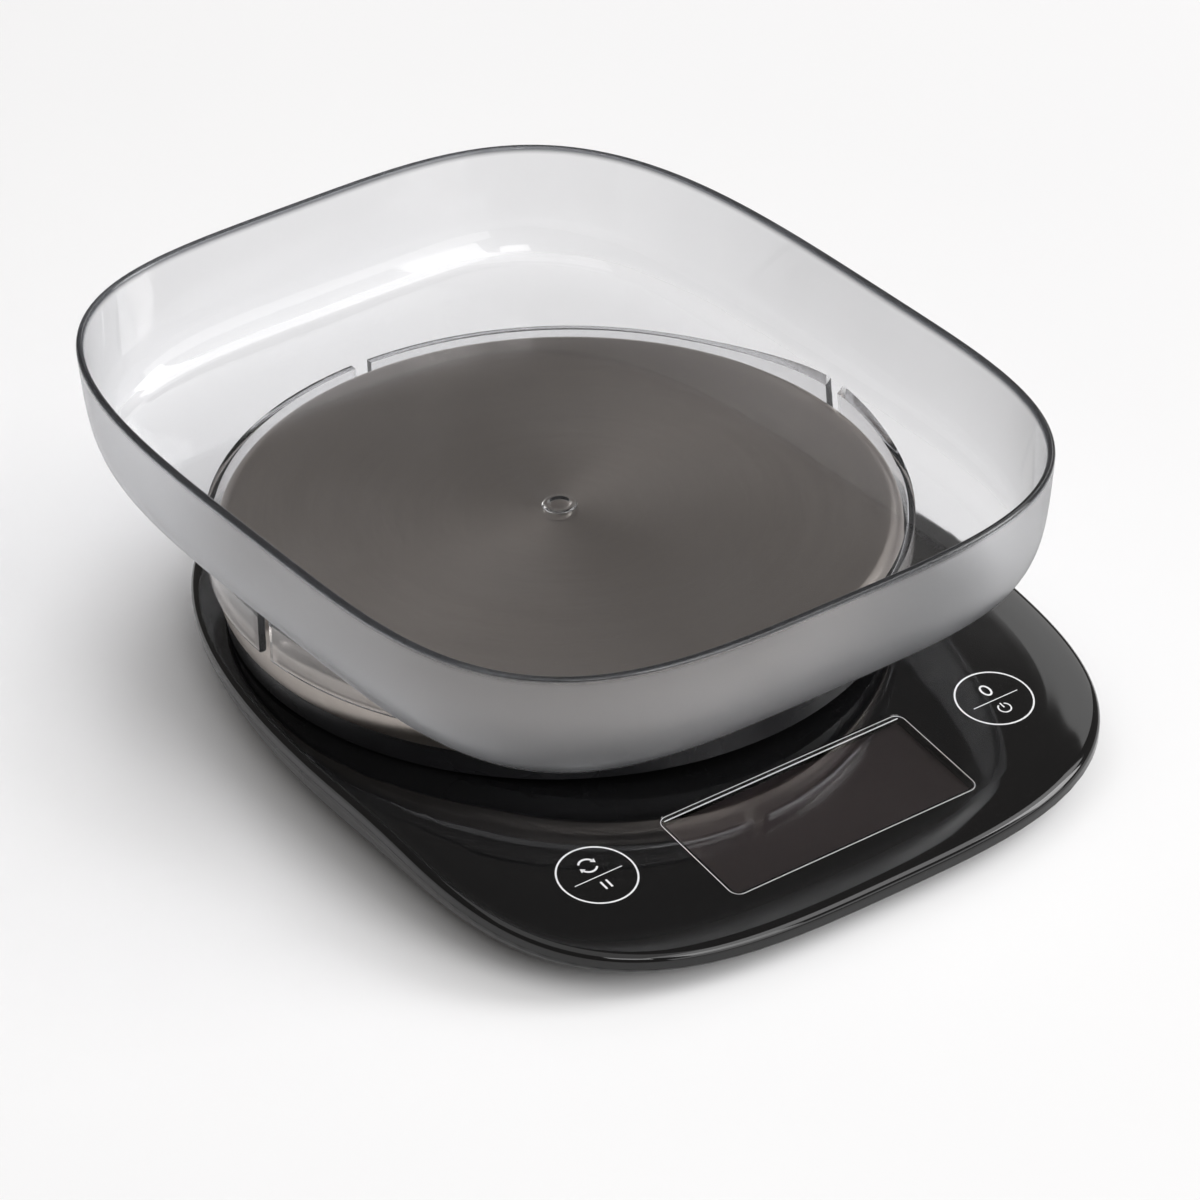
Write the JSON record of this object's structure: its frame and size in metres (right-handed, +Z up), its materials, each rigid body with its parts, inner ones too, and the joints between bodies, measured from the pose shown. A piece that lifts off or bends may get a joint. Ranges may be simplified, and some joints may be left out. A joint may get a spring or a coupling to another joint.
{
  "type": "kitchen scale",
  "caption": "Low kitchen scale with a sloping control strip, a round steel platform and a smoky clear lift-off bowl with rounded corners.",
  "frame": {"origin": "on the table under the middle of the overall bounding box", "axes": "+Z up, +Y to the back, -Y to the front where the display is, +X to the right seen from the front"},
  "size_m": [0.181, 0.242, 0.076],
  "materials": {
    "smoky_clear": "clear, gloss",
    "stainless": "brushed in circles",
    "tape": "matt",
    "black_satin": "satin",
    "black_gloss": "high gloss",
    "screw_steel": "zinc plated",
    "zinc": "zinc plated",
    "load_cell_aluminium": "milled",
    "white_silicone": "matt",
    "wire_white": "satin",
    "wire_red": "satin",
    "wire_black": "satin",
    "display_clear": "clear, gloss",
    "lcd_glass": "polished",
    "white_plastic": "matt",
    "contact_rubber": "matt",
    "board_green": "solder mask",
    "black_epoxy": "cured resin",
    "foam_pad": "foam",
    "foot_rubber": "matt",
    "cell_wrap": "printed film",
    "contact_nickel": "nickel plated"
  },
  "bodies": {
    "base": {"load_cell": "load_cell_aluminium", "gauge_potting": "white_silicone", "cell_wires": "wire_white", "mount_screws": "screw_steel", "top_cover": "black_gloss", "bottom_cover": "black_satin", "display_lens": "display_clear", "lcd_panel": "lcd_glass", "lcd_frame": "white_plastic", "lcd_backlight": "white_plastic", "zebra_strip": "contact_rubber", "circuit_board": "board_green", "chip_blob": "black_epoxy", "board_parts": "black_epoxy", "board_screws": "screw_steel", "touch_pads": "foam_pad", "case_screws": "screw_steel", "rubber_feet": "foot_rubber", "battery_cells": "cell_wrap", "battery_springs": "contact_nickel", "contact_plates": "contact_nickel", "battery_wire_red": "wire_red", "battery_wire_black": "wire_black"},
    "platform": {"platform_plate": "stainless", "platform_tape": "tape", "platform_carrier": "black_satin", "hub_screws": "screw_steel", "load_spacer": "zinc"},
    "bowl": {"bowl": "smoky_clear"},
    "battery_door": {"battery_door": "black_satin"}
  },
  "joints": [
    {"name": "weighing", "type": "slide", "parent": "base", "child": "platform", "axis": [0, 0, -1], "range_m": [0, 0.0005], "stiffness_N_per_m": 100000, "deforming": ["load_cell"]},
    {"name": "bowl_lift", "type": "slide", "parent": "platform", "child": "bowl", "axis": [0, 0, 1], "range_m": [0, 0.12]},
    {"name": "battery_door_hinge", "type": "hinge", "parent": "base", "child": "battery_door", "pos_m": [0, 0.0517, 0.0026], "axis": [1, 0, 0], "range_deg": [0, 90]}
  ]
}
